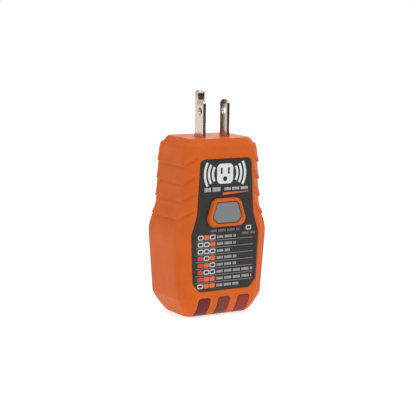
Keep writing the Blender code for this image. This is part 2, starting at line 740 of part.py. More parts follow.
def make_wires(finish):
    """Insulated leads from the prongs' tails to the back of the board."""
    board_back = BOARD_Y[1] + GAP
    start_z, bend_z = TAIL_Z - GAP, WIRE_BOARD_Z + 4.0
    for name, sign, colour in (("neutral_wire", -1, "white"), ("line_wire", 1, "black")):
        x = sign * BLADE_SPACING / 2
        middle = (x, WIRE_BEND_Y, bend_z)
        route = bezier(((x, BLADE_Y, start_z), (x, BLADE_Y, 61.0), (x, WIRE_BEND_Y, 61.5), middle), 9)
        low = ((x, WIRE_BEND_Y, WIRE_BOARD_Z + 1.0), (x, 4.0, WIRE_BOARD_Z), (x, board_back, WIRE_BOARD_Z))
        route += bezier((middle, *low), 7)[1:]
        make_tube(name, route, WIRE_RADIUS, finish[colour])
    y = BLADE_Y + PIN_OFFSET
    low = ((0.0, y, 58.0), (0.0, 9.0, GROUND_BOARD_Z), (0.0, board_back, GROUND_BOARD_Z))
    make_tube("ground_wire", bezier(((0.0, y, start_z), *low), 14), WIRE_RADIUS, finish["green"])


def make_components(finish):
    """Supply and transmitter parts on the back of the board."""
    base = BOARD_Y[1] + GAP
    for name, (colour, (x, z), (width, depth, height), radius) in BLOCKS.items():
        left, right, low, top = x - width / 2, x + width / 2, z - height / 2, z + height / 2
        corners = [(u, v, radius) for u, v in ((right, top), (right, low), (left, low), (left, top))]
        shape = bmesh.new()
        prism(shape, rounded(corners, 2), "Y", base, base + depth)
        add_object(name, shape, finish[colour])
    shape = bmesh.new()
    profile = [(radius, base + along) for radius, along in ELECTROLYTIC_PROFILE]
    turned(shape, "Y", ELECTROLYTIC_PLACE, profile, 20)
    add_object("electrolytic_capacitor", shape, finish["blue"], 40)
    for name, (colour, rest, z, profile) in LYING_PARTS.items():
        shape = bmesh.new()
        turned(shape, "X", (base + rest, z), profile, 16)
        add_object(name, shape, finish[colour], 40)


# ---------------------------------------------------------------- screws


def screw_mesh(name, size, finish):
    """Pan-head screw along Y with a cross recess, its head's outer face at the origin."""
    head_radius, head_height, shank_radius, length = size
    point_radius, point_length = SCREW_POINT
    ease_radius, ease_height = SCREW_HEAD_EASE
    profile = [(point_radius, -length), (shank_radius, -length + point_length), (shank_radius, -head_height)]
    profile += [(head_radius, -head_height), (head_radius, -ease_height), (head_radius - ease_radius, 0.0)]
    shape = bmesh.new()
    turned(shape, "Y", (0.0, 0.0), profile, 20)
    made = add_object(name, shape, finish, 35)

    def cross(cut):
        arm, half = (head_radius * share for share in CROSS_SHARE)
        outline = [(arm, half), (arm, -half), (half, -half), (half, -arm), (-half, -arm), (-half, -half)]
        outline += [(-arm, -half), (-arm, half), (-half, half), (-half, arm), (half, arm), (half, half)]
        prism(cut, outline, "Y", -CROSS_DEPTH, 1.0)

    tool = guide(name + "_cross_cut", cross)
    combine(made, tool, "DIFFERENCE")
    bpy.context.view_layer.update()
    cut_mesh = bpy.data.meshes.new_from_object(made.evaluated_get(bpy.context.evaluated_depsgraph_get()))
    bpy.data.objects.remove(made, do_unlink=True)
    bpy.data.objects.remove(tool, do_unlink=True)
    return cut_mesh


def place_copies(prefix, mesh, places, y):
    for index, (x, z) in enumerate(places):
        made = bpy.data.objects.new("%s_%d" % (prefix, index + 1), mesh)
        made.location = (x * MM, y * MM, z * MM)
        bpy.context.scene.collection.objects.link(made)


def make_screws(finish):
    housing = screw_mesh("housing_screw", HOUSING_SCREW, finish["steel"])
    place_copies("housing_screw", housing, BOSS_PLACES, BACK_Y - HOUSING_SCREW_DEPTH)
    board = screw_mesh("board_screw", BOARD_SCREW, finish["steel"])
    place_copies("board_screw", board, POST_PLACES, BOARD_Y[1] + GAP + BOARD_SCREW[1])


def main():
    clear_scene()
    finish = make_materials()
    make_front_shell(finish)
    make_rear_cover(finish)
    make_faceplate_label(finish)
    make_lenses(finish)
    make_test_button(finish)
    make_prongs(finish)
    make_prong_holders(finish)
    make_board(finish)
    make_indicators(finish)
    make_switch(finish)
    make_wires(finish)
    make_components(finish)
    make_screws(finish)


main()
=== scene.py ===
"""Looks of the outlet tester plug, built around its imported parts.

Frame: +X right and -Y towards the user when the label is read, +Z up through the prongs.
Shapes are worked out in millimetres; add_piece turns them into metres.
"""

import json
import math

import bmesh
import bpy
from mathutils import Matrix, Vector


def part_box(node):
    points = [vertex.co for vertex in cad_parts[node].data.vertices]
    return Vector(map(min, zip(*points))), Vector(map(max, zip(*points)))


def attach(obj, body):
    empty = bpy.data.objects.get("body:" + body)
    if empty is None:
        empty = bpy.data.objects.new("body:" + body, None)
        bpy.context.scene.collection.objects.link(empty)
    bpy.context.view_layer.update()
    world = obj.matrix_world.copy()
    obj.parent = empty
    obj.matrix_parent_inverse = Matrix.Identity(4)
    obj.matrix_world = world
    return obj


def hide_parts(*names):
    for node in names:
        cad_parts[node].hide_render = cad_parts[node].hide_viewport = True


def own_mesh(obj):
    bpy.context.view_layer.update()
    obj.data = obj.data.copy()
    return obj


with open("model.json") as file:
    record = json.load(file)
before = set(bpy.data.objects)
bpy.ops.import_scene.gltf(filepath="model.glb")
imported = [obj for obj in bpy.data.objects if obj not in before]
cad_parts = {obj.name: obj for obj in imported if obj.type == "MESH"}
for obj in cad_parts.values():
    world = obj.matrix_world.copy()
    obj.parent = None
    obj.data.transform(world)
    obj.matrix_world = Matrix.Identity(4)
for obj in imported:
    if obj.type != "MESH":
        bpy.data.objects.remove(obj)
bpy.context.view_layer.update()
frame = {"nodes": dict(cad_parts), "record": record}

MM = 0.001
BODY = "housing"


def box_mm(node):
    low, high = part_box(node)
    return low / MM, high / MM


def middle_x(node):
    low, high = box_mm(node)
    return (low.x + high.x) / 2


SHELL_LOW, SHELL_HIGH = box_mm("front_shell")
LABEL_LOW, LABEL_HIGH = box_mm("faceplate_label")
COVER_LOW, COVER_HIGH = box_mm("rear_cover")
RATING_LOW, RATING_HIGH = box_mm("rating_label")
CAP_LOW, CAP_HIGH = box_mm("test_button")
LENS_LOW, LENS_HIGH = box_mm("amber_lens_middle")
LENS_NAMES = ("red_lens", "amber_lens_middle", "amber_lens_right")
LENS_CENTRES = {name: middle_x(name) for name in LENS_NAMES}
PIN_LOW, PIN_HIGH = box_mm("ground_pin")
BLADE_X = {name: middle_x(name) for name in ("neutral_blade", "line_blade")}
BLADE_LOW, BLADE_HIGH = box_mm("line_blade")

# Housing envelope
# Outlines are rows of (x, z, corner radius) down the right half, in millimetres.
BODY_HEIGHT = SHELL_HIGH.z
FRONT_Y = LABEL_LOW.y
BACK_Y = SHELL_HIGH.y
FIT = 0.12  # gap left around a piece that sits in an opening
WALL = 2.2
TOP_WALL = 5.2
FLOOR_WALL = 2.4
UPPER_HALF = 19.5
UPPER_TAPER = 0.062
LOWER_HALF = 24.65
LOWER_TAPER = 0.082
GRIP_TOP_Z = 76.0
FLARE_TOP_Z = 52.0
WIDEST_Z = 37.0
CHAMFER_X = (5.2, 5.8)  # front chamfer's width: grip, lower body
CHAMFER_Y = (4.4, 3.45)
RIM_RADIUS = 1.0
CREASE_RADIUS = (1.5, 4.0)  # between side and front chamfer: grip, lower body
BACK_RADIUS = 3.0
# How the lower end rounds off: (height, inset, fullness)
FOOT_SIDE = (9.4, 5.3, 1.08)
FOOT_FRONT = (9.6, 6.6, 1.5)
FOOT_BACK = (6.5, 4.0, 1.6)
FOOT_CHAMFER = 0.6  # share of the front chamfer lost at the bottom
# Collar round the prongs: (z, inset at the sides, front, back)
COLLAR = (
    (BODY_HEIGHT, 3.5, 2.9, 2.6),
    (82.35, 3.0, 2.4, 2.1),
    (81.4, 2.3, 1.7, 1.6),
    (80.3, 1.7, 1.1, 1.2),
    (79.6, 0.6, 0.4, 0.5),
    (78.6, 0.2, 0.15, 0.2),
    (GRIP_TOP_Z, 0.0, 0.0, 0.0),
)

# Grip ribs
RIB_COUNT = 4
RIB_PITCH = 8.1
RIB_FIRST_Z = 71.1
RIB_HEIGHT = 0.78
RIB_SWELL = 5.2  # length over which a rib rises to its crest
RIB_STEP = 0.85  # length over which it falls away below
RIB_GROOVE = 0.28  # depth of the groove under the step against the rib's height
RIB_RETURN = 1.5  # length over which the groove runs out
RIB_LEVELS = (4.4, 3.6, 2.8, 2.0, 1.3, 0.8, 0.4, 0.15, 0.0)
RIB_LEVELS += (-0.12, -0.25, -0.4, -0.55, -0.7, -0.85, -1.05, -1.3, -1.7, -2.35, -3.0)
CHEVRON_RISE = 4.3  # climb of a rib from the crease to the rim
CHEVRON_FADE = (79.0, 70.5, 45.0, 38.0)  # levels: none, full, full, none

# Front label, button and surround
LABEL_OUTLINE = (
    (13.4, 73.5, 2.5),
    (14.9, 47.9, 6.0),
    (17.8, 39.1, 6.0),
    (16.8, 16.7, 2.0),
    (13.2, 12.9, 1.2),
)
BUTTON_Z = (CAP_LOW.z + CAP_HIGH.z) / 2
SURROUND_FRONT = SHELL_LOW.y
# Width at the top, width at the bottom, height, corner radius
SURROUND_SIZE = (13.8, 20.4, 12.9, 3.4)
BUTTON_SIZE = (10.9, 15.8, 9.7, 1.5)
BUTTON_LIP = 1.3
LENS_HALF = (LENS_HIGH.x - LENS_LOW.x) / 2
LENS_CORNER = 1.5
LENS_THICK = 2.0

# Rear cover
COVER_OUTLINE = (
    (14.3, 74.0, 3.0),
    (15.4, 53.0, 8.0),
    (19.3, 39.0, 8.0),
    (18.0, 9.5, 3.0),
)
RATING_CORNER = 1.2
BOSS_RADIUS = 2.3
POST_RADIUS = 2.0
BOSS_PLACES = ((-11.6, 63.5), (11.6, 63.5), (-15.5, 20.5), (15.5, 20.5))
POST_PLACES = ((-9.8, 57.0), (9.8, 57.0), (0.0, 25.0))

# Prongs
BLADE_Y = (BLADE_LOW.y + BLADE_HIGH.y) / 2
BLADE_HALF = 6.35 / 2
BLADE_THICK = BLADE_HIGH.x - BLADE_LOW.x
BLADE_HOLE_Z = BODY_HEIGHT + 11.8
PIN_Y = (PIN_LOW.y + PIN_HIGH.y) / 2
PIN_RADIUS = 2.375
SHOULDER_Z = (68.6, 69.8)  # the prongs' shoulders, held between carrier and retainer

# Switch
SPRING_WIRE = 0.22  # radius
SPRING_TURNS = 3.5


# ---------------------------------------------------------------- mesh helpers


def add_piece(name, shape, finish, smooth_degrees=35, body=BODY):
    """Object from a shape in millimetres; it rides on a body unless body is None."""
    bmesh.ops.recalc_face_normals(shape, faces=shape.faces)
    bmesh.ops.scale(shape, vec=(MM, MM, MM), verts=shape.verts)
    mesh = bpy.data.meshes.new(name)
    shape.to_mesh(mesh)
    shape.free()
    if finish is not None:
        mesh.materials.append(finish)
    made = bpy.data.objects.new(name, mesh)
    bpy.context.scene.collection.objects.link(made)
    soften(made, smooth_degrees)
    if body is not None:
        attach(made, body)
    return made


def soften(piece, smooth_degrees):
    piece.data.shade_smooth()
    piece.data.set_sharp_from_angle(angle=math.radians(smooth_degrees))


def weigh_normals(piece):
    """Large flat faces keep their own direction, so only the rounded edges shade as curved."""
    step = piece.modifiers.new("weighted", "WEIGHTED_NORMAL")
    step.keep_sharp = True
    step.weight = 60


def loft(shape, rings):
    rows = [[shape.verts.new(point) for point in ring] for ring in rings]
    for low, high in zip(rows, rows[1:]):
        for i in range(len(low)):
            j = (i + 1) % len(low)
            shape.faces.new((low[i], low[j], high[j], high[i]))
    shape.faces.new(rows[0][::-1])
    shape.faces.new(rows[-1])


def at(axis, u, v, along):
    return {"X": (along, u, v), "Y": (u, along, v), "Z": (u, v, along)}[axis]


def layers(shape, axis, stages):
    """Closed body through outlines placed along an axis: (outline, distance) from one end to the other."""
    loft(shape, [[at(axis, u, v, along) for u, v in outline] for outline, along in stages])


def prism(shape, outline, axis, low, high):
    layers(shape, axis, ((outline, low), (outline, high)))


def circle(centre, radius, steps=48):
    turns = [2 * math.pi * i / steps for i in range(steps)]
    return [(centre[0] + radius * math.cos(t), centre[1] + radius * math.sin(t)) for t in turns]


def turned(shape, axis, centre, profile, steps=48):
    """Closed turned body; profile holds (radius, distance along the axis)."""
    layers(shape, axis, [(circle(centre, radius, steps), along) for radius, along in profile])


def rounded(corners, steps=8):
    """Outline with each corner (x, y, radius) replaced by an arc."""
    outline = []
    for i, (x, y, radius) in enumerate(corners):
        here = Vector((x, y))
        back = (Vector(corners[i - 1][:2]) - here).normalized()
        on = (Vector(corners[(i + 1) % len(corners)][:2]) - here).normalized()
        half_angle = back.angle(on) / 2
        reach = radius / math.tan(half_angle)
        middle = here + (back + on).normalized() * (radius / math.sin(half_angle))
        start = here + back * reach - middle
        end = here + on * reach - middle
        sweep = start.angle_signed(end)
        for k in range(steps + 1):
            outline.append(tuple(middle + Matrix.Rotation(-sweep * k / steps, 2) @ start))
    return outline


def mirrored(half):
    return list(half) + [(-x, z, radius) for x, z, radius in reversed(half)]


def grown(half, by):
    """Half outline moved outwards."""
    top, low = half[0][1], half[-1][1]
    return [
        (x + by, z + (by if z == top else -by if z == low else 0.0), max(radius + by, 0.4))
        for x, z, radius in half
    ]


def trapezoid(size, by=0.0):
    """Half outline of the button's shape, its lower corners cut off."""
    top, bottom, height, radius = size
    cut = 2.6
    return [
        (top / 2 + by, BUTTON_Z + height / 2 + by, radius + by),
        (bottom / 2 + by, BUTTON_Z - height / 2 + cut, radius + by),
        (bottom / 2 - cut + by * 0.4, BUTTON_Z - height / 2 - by, radius * 0.7 + by),
    ]


def rectangle(x, z, width, height, radius, steps=4):
    half_x, half_z = width / 2, height / 2
    corners = ((x + half_x, z + half_z, radius), (x + half_x, z - half_z, radius))
    corners += ((x - half_x, z - half_z, radius), (x - half_x, z + half_z, radius))
    return rounded(corners, steps)


def carve(piece, steps):
    """Booleans in order, (operation, builder of the tool), applied to the piece's mesh."""
    tools = []
    for operation, build in steps:
        shape = bmesh.new()
        build(shape)
        tool = add_piece("tool", shape, None, body=None)
        step = piece.modifiers.new("cut", "BOOLEAN")
        step.operation = operation
        step.solver = "EXACT"
        step.object = tool
        tools.append(tool)
    settle(piece)
    for tool in tools:
        bpy.data.objects.remove(tool, do_unlink=True)


def settle(piece):
    """The piece's modifiers become its mesh."""
    bpy.context.view_layer.update()
    graph = bpy.context.evaluated_depsgraph_get()
    final = bpy.data.meshes.new_from_object(piece.evaluated_get(graph))
    piece.modifiers.clear()
    piece.data = final


def bevel(piece, width, degrees=35, segments=2):
    step = piece.modifiers.new("bevel", "BEVEL")
    step.width = width * MM
    step.segments = segments
    step.limit_method = "ANGLE"
    step.angle_limit = math.radians(degrees)
    step.harden_normals = False
    settle(piece)


# ---------------------------------------------------------------- materials


class Paint:
    """One node material: a Principled shader and the nodes that drive it."""

    def __init__(self, name, roughness, metallic=0.0):
        self.made = bpy.data.materials.new(name)
        self.made.use_nodes = True
        self.nodes = self.made.node_tree.nodes
        self.links = self.made.node_tree.links
        self.shader = self.nodes["Principled BSDF"]
        self.shader.inputs["Roughness"].default_value = roughness
        self.shader.inputs["Metallic"].default_value = metallic
        self.place = self.nodes.new("ShaderNodeTexCoord").outputs["Object"]

    def set(self, **values):
        for name, value in values.items():
            self.shader.inputs[name.replace("_", " ")].default_value = value
        return self

    def noise(self, size, detail=3.0, stretch=(1.0, 1.0, 1.0)):
        """Noise whose features are about size millimetres, stretched along an axis by its factor."""
        mapping = self.nodes.new("ShaderNodeMapping")
        mapping.inputs["Scale"].default_value = tuple(1.0 / s for s in stretch)
        self.links.new(self.place, mapping.inputs["Vector"])
        node = self.nodes.new("ShaderNodeTexNoise")
        node.inputs["Scale"].default_value = 1.0 / (size * MM)
        node.inputs["Detail"].default_value = detail
        self.links.new(mapping.outputs["Vector"], node.inputs["Vector"])
        return node.outputs["Fac"]

    def spread(self, value, low, high, start=0.3, end=0.7):
        node = self.nodes.new("ShaderNodeMapRange")
        node.inputs["From Min"].default_value = start
        node.inputs["From Max"].default_value = end
        node.inputs["To Min"].default_value = low
        node.inputs["To Max"].default_value = high
        self.links.new(value, node.inputs["Value"])
        return node.outputs["Result"]

    def blend(self, share, first, second):
        """Colour between two, each a colour or another node's output."""
        node = self.nodes.new("ShaderNodeMix")
        node.data_type = "RGBA"
        for socket, colour in (("A", first), ("B", second)):
            target = [s for s in node.inputs if s.name == socket and s.type == "RGBA"][0]
            if isinstance(colour, tuple):
                target.default_value = (*colour, 1.0)
            else:
                self.links.new(colour, target)
        self.links.new(share, node.inputs["Factor"])
        return [s for s in node.outputs if s.type == "RGBA"][0]

    def colour(self, value):
        self.links.new(value, self.shader.inputs["Base Color"])

    def gloss(self, value):
        self.links.new(value, self.shader.inputs["Roughness"])

    def relief(self, height, depth, strength=1.0):
        """Bump, depth in millimetres."""
        node = self.nodes.new("ShaderNodeBump")
        node.inputs["Strength"].default_value = strength
        node.inputs["Distance"].default_value = depth * MM
        self.links.new(height, node.inputs["Height"])
        self.links.new(node.outputs["Normal"], self.shader.inputs["Normal"])


def shifted(colour, factor):
    return tuple(min(c * factor, 1.0) for c in colour)


def moulded(name, colour, roughness=0.45, vary=0.05, grain=0.22, depth=0.012, **sockets):
    """Moulded plastic: soft colour clouds, a fine spark-eroded grain and uneven gloss."""
    paint = Paint(name, roughness).set(**sockets)
    clouds = paint.spread(paint.noise(9.0, 2.0), 0.0, 1.0)
    paint.colour(paint.blend(clouds, shifted(colour, 1 - vary), shifted(colour, 1 + vary)))
    paint.gloss(paint.spread(paint.noise(1.6, 4.0), roughness - 0.05, roughness + 0.06))
    paint.relief(paint.noise(grain, 2.0), depth)
    return paint.made


def printed(name, colour, vary=0.06):
    """Screen-printed ink, slightly uneven."""
    paint = Paint(name, 0.5)
    paint.colour(paint.blend(paint.noise(0.5, 3.0), shifted(colour, 1 - vary), shifted(colour, 1 + vary)))
    paint.relief(paint.noise(0.15, 2.0), 0.004)
    return paint.made


def plated(name, colour, roughness=0.2, grain=(1.0, 1.0, 30.0), vary=0.08):
    """Plated metal with drawing lines along its length."""
    paint = Paint(name, roughness, 1.0)
    lines = paint.noise(0.12, 3.0, grain)
    paint.colour(paint.blend(lines, shifted(colour, 1 - vary), shifted(colour, 1 + vary)))
    paint.gloss(paint.spread(paint.noise(0.3, 3.0, grain), roughness - 0.05, roughness + 0.08))
    paint.relief(lines, 0.006, 0.6)
    return paint.made


def lens_finish_with_painted_glow(name, deep, lit, centre):
    """Tinted clear plastic over a lamp, with a painted glow: the colour is lighter in front of the lamp,
    standing in for light seen through the lens; moulding ripples in the gloss.
    """
    paint = Paint(name, 0.16).set(Specular_IOR_Level=0.2, Subsurface_Weight=0.15, Subsurface_Scale=0.003)
    offset = paint.nodes.new("ShaderNodeVectorMath")
    offset.operation = "DISTANCE"
    offset.inputs[1].default_value = tuple(c * MM for c in centre)
    paint.links.new(paint.place, offset.inputs[0])
    # Painted glow: the base colour is lightened near the lamp, standing in for light seen through the lens
    near = paint.spread(offset.outputs["Value"], 1.0, 0.0, 0.4 * MM, 4.6 * MM)
    mottled = paint.blend(paint.noise(1.1, 3.0), deep, shifted(deep, 1.5))
    paint.colour(paint.blend(near, mottled, lit))
    paint.gloss(paint.spread(paint.noise(1.4, 2.0), 0.12, 0.24))
    paint.relief(paint.noise(0.9, 2.0), 0.02)
    return paint.made


ORANGE = (0.61, 0.116, 0.0175)


CHARCOAL = (0.027, 0.025, 0.0235)


def make_finishes():
    return {
        "orange_housing": moulded("orange_housing_finish", ORANGE, 0.42, Specular_IOR_Level=0.08),
        "label_film": moulded("label_finish", CHARCOAL, 0.45, 0.08, 0.3, 0.01, Specular_IOR_Level=0.3),
        "rating_film": moulded("rating_finish", (0.60, 0.60, 0.58), 0.5, 0.04, 0.3, 0.008),
        "grey_button": moulded("button_finish", (0.188, 0.193, 0.208), 0.45, 0.05, 0.25, 0.015),
        "nickel_plate": plated("nickel_finish", (0.63, 0.53, 0.46), 0.14),
        "zinc_steel": plated("zinc_finish", (0.60, 0.60, 0.62), 0.3, (6.0, 1.0, 1.0)),
        "black_plastic": moulded("black_finish", (0.02, 0.02, 0.022), 0.45, 0.2),
        "white_plastic": moulded("white_finish", (0.72, 0.72, 0.69), 0.45, 0.04),
        "board_laminate": moulded("board_finish", (0.03, 0.18, 0.07), 0.35, 0.25, 0.5, 0.02),
        "red_led_resin": moulded("red_led_finish", (0.5, 0.03, 0.03), 0.15, 0.1),
        "amber_led_resin": moulded("amber_led_finish", (0.6, 0.26, 0.04), 0.15, 0.1),
        "red_coating": moulded("red_coating_finish", (0.42, 0.05, 0.03), 0.25, 0.1),
        "blue_coating": moulded("blue_coating_finish", (0.04, 0.12, 0.42), 0.25, 0.1),
        "white_insulation": moulded("white_wire_finish", (0.72, 0.72, 0.69), 0.4, 0.05),
        "black_insulation": moulded("black_wire_finish", (0.02, 0.02, 0.022), 0.4, 0.2),
        "green_insulation": moulded("green_wire_finish", (0.05, 0.30, 0.09), 0.4, 0.1),
    }


# ---------------------------------------------------------------- housing surface


def smoothstep(t):
    """0 to 1 with level ends."""
    t = min(max(t, 0.0), 1.0)
    return t * t * (3 - 2 * t)


def rounding(depth, foot):
    """Inset at a depth below the level where the lower end starts to round off."""
    height, inset, fullness = foot
    t = min(max(depth / height, 0.0), 1.0)
    return inset * (1 - (1 - t**fullness) ** (1 / fullness))


def half_width(z):
    share = smoothstep((FLARE_TOP_Z - z) / (FLARE_TOP_Z - WIDEST_Z))
    upper = UPPER_HALF + (GRIP_TOP_Z - z) * UPPER_TAPER
    lower = LOWER_HALF - (WIDEST_Z - z) * LOWER_TAPER
    return min(upper * (1 - share) + lower * share, LOWER_HALF) - rounding(FOOT_SIDE[0] - z, FOOT_SIDE)


def chevron_share(z):
    """How much of the chevrons' climb applies at a level."""
    top, full, hold, low = CHEVRON_FADE
    return smoothstep((top - z) / (top - full)) * smoothstep((z - low) / (hold - low))


def rib_height(z):
    """Relief of the shingled ribs at a level of the side wall, each with a groove under its step."""
    height = 0.0
    for i in range(RIB_COUNT):
        above = z - (RIB_FIRST_Z - i * RIB_PITCH)
        if above >= 0:
            t = max(1 - above / RIB_SWELL, 0.0)
            height += t * t * (1.5 - 0.5 * t)
        elif above >= -RIB_STEP:
            height += 1 - (1 + RIB_GROOVE) * smoothstep(-above / RIB_STEP)
        else:
            height -= RIB_GROOVE * (1 - smoothstep((-above - RIB_STEP) / RIB_RETURN))
    return height * RIB_HEIGHT


def half_section(z, side=0.0, front=0.0, back=0.0, climb=CHEVRON_RISE, ribs=True, steps=7):
    """Points (x, y, z) of the right half at one level, from the front rim round to the back."""
    share = smoothstep((FLARE_TOP_Z - z) / (FLARE_TOP_Z - WIDEST_Z))
    size = (1 - 0.05 * side) * (1 - FOOT_CHAMFER * smoothstep(1 - z / FOOT_FRONT[0]))
    chamfer_x = (CHAMFER_X[0] * (1 - share) + CHAMFER_X[1] * share) * size
    chamfer_y = (CHAMFER_Y[0] * (1 - share) + CHAMFER_Y[1] * share) * size
    y_front = FRONT_Y + front + rounding(FOOT_FRONT[0] - z, FOOT_FRONT)
    y_back = BACK_Y - back - rounding(FOOT_BACK[0] - z, FOOT_BACK)
    x_side = half_width(z) - side
    rim = Vector((x_side - chamfer_x, y_front))
    crease = Vector((x_side, y_front + chamfer_y))
    crease_radius = CREASE_RADIUS[0] * (1 - share) + CREASE_RADIUS[1] * share
    corners = [(*rim, RIM_RADIUS * size), (*crease, crease_radius), (x_side, y_back, BACK_RADIUS)]
    outline = rounded(mirrored(corners), steps)[: 3 * (steps + 1)]
    rim_arc, rest = outline[: steps + 1], outline[steps + 1 :]
    start, end = Vector(rim_arc[-1]), Vector(rest[0])
    between = [tuple(start.lerp(end, k / 5)) for k in (1, 2, 3, 4)]
    slope = (crease - rim).normalized()
    points = []
    for x, y in rim_arc + between + rest:
        across = min(max((Vector((x, y)) - rim).dot(slope) / (crease - rim).length, 0.0), 1.0)
        level = z + climb * chevron_share(z) * (1 - across)
        out = Vector((slope.y, -slope.x)).lerp(Vector((1, 0)), smoothstep((across - 0.6) / 0.4)).normalized()
        fade = smoothstep(across / 0.2) * (1 - smoothstep((y - y_back + BACK_RADIUS) / BACK_RADIUS))
        relief = rib_height(z) * fade if ribs else 0.0
        shift = half_width(level) - half_width(z)
        points.append((x + shift + out.x * relief, y + out.y * relief, level))
    return points


def ring_of(half):
    return half + [(-x, y, z) for x, y, z in reversed(half)]


def eased(rows, rounds):
    """Corner cutting: a polyline of rows of numbers, rounded at its inner corners."""
    for _ in range(rounds):
        cut = [rows[0]]
        for first, second in zip(rows, rows[1:]):
            for share in (0.25, 0.75):
                cut.append(tuple(a * (1 - share) + b * share for a, b in zip(first, second)))
        rows = cut + [rows[-1]]
    return rows


def outer_rings():
    rings = [ring_of(half_section(*row)) for row in eased(COLLAR, 1)[:-1]]
    levels = [GRIP_TOP_Z]
    for i in range(RIB_COUNT):
        levels += [RIB_FIRST_Z - i * RIB_PITCH + over for over in RIB_LEVELS]
    ribs_end, foot_start = levels[-1], FOOT_FRONT[0] + 1.0
    below, foot = 22, 30
    levels += [ribs_end + (foot_start - ribs_end) * i / below for i in range(1, below)]
    levels += [foot_start * (1 - i / foot) ** 1.6 for i in range(foot + 1)]
    return rings + [ring_of(half_section(z)) for z in levels]


def cavity_rings():
    levels = (BODY_HEIGHT - TOP_WALL, 68.0, 56.0, 50.0, 44.5, WIDEST_Z)
    levels += (25.0, 12.0, 7.5, 4.5, FLOOR_WALL)
    return [ring_of(half_section(z, WALL, WALL, WALL, 0.0, False, 3)) for z in levels]


# ---------------------------------------------------------------- housing pieces


def foot_point(z):
    """Point (y, z) on the rounded front of the lower end, and its outward direction."""
    step = 0.02
    here = Vector((FRONT_Y + rounding(FOOT_FRONT[0] - z, FOOT_FRONT), z))
    ahead = Vector((FRONT_Y + rounding(FOOT_FRONT[0] - z + step, FOOT_FRONT), z - step))
    run = (ahead - here).normalized()
    return here, Vector((run.y, -run.x))


def lens_stations():
    """Where a lens runs: points on the rounded lower end from its top edge down, with outward directions."""
    count = 26
    stations = []
    for i in range(count + 1):
        z = LENS_HIGH.z + (LENS_LOW.z - LENS_HIGH.z) * (i / count) ** 1.25
        stations.append(foot_point(z))
    return stations


def lens_body(shape, centre):
    """Curved lens following the lower end, its edges eased."""
    edge, ease = 0.28, 0.5
    travelled = 0.0
    previous = None
    rings = []
    for point, out in lens_stations():
        travelled += (point - previous).length if previous is not None else 0.0
        previous = point
        corner = 1 - min(travelled / LENS_CORNER, 1.0)
        half = LENS_HALF - LENS_CORNER * (1 - math.sqrt(1 - corner**2))
        drop = edge * (1 - math.sqrt(1 - (1 - min(travelled / ease, 1.0)) ** 2))
        section = [(-half, -LENS_THICK), (-half, -edge - drop), (-half + edge * 0.3, -edge * 0.3 - drop)]
        section += [(-half + edge, -drop)] + [(half * k / 3, -drop) for k in (-2, -1, 0, 1, 2)]
        section += [(half - edge, -drop), (half - edge * 0.3, -edge * 0.3 - drop)]
        section += [(half, -edge - drop), (half, -LENS_THICK)]
        rings.append([(centre + x, point.x + out.x * lift, point.y + out.y * lift) for x, lift in section])
    loft(shape, rings)


def lens_window(shape, centre):
    """Tool for a lens's opening, a fit wider all round; it runs out through the bottom edge."""
    top, half = LENS_HIGH.z + FIT, LENS_HALF + FIT
    corners = [(centre + half, top, LENS_CORNER), (centre + half, -1.0, 0.1)]
    corners += [(centre - half, -1.0, 0.1), (centre - half, top, LENS_CORNER)]
    prism(shape, rounded(corners), "Y", FRONT_Y - 1.0, FRONT_Y + FOOT_FRONT[1] + 0.2)


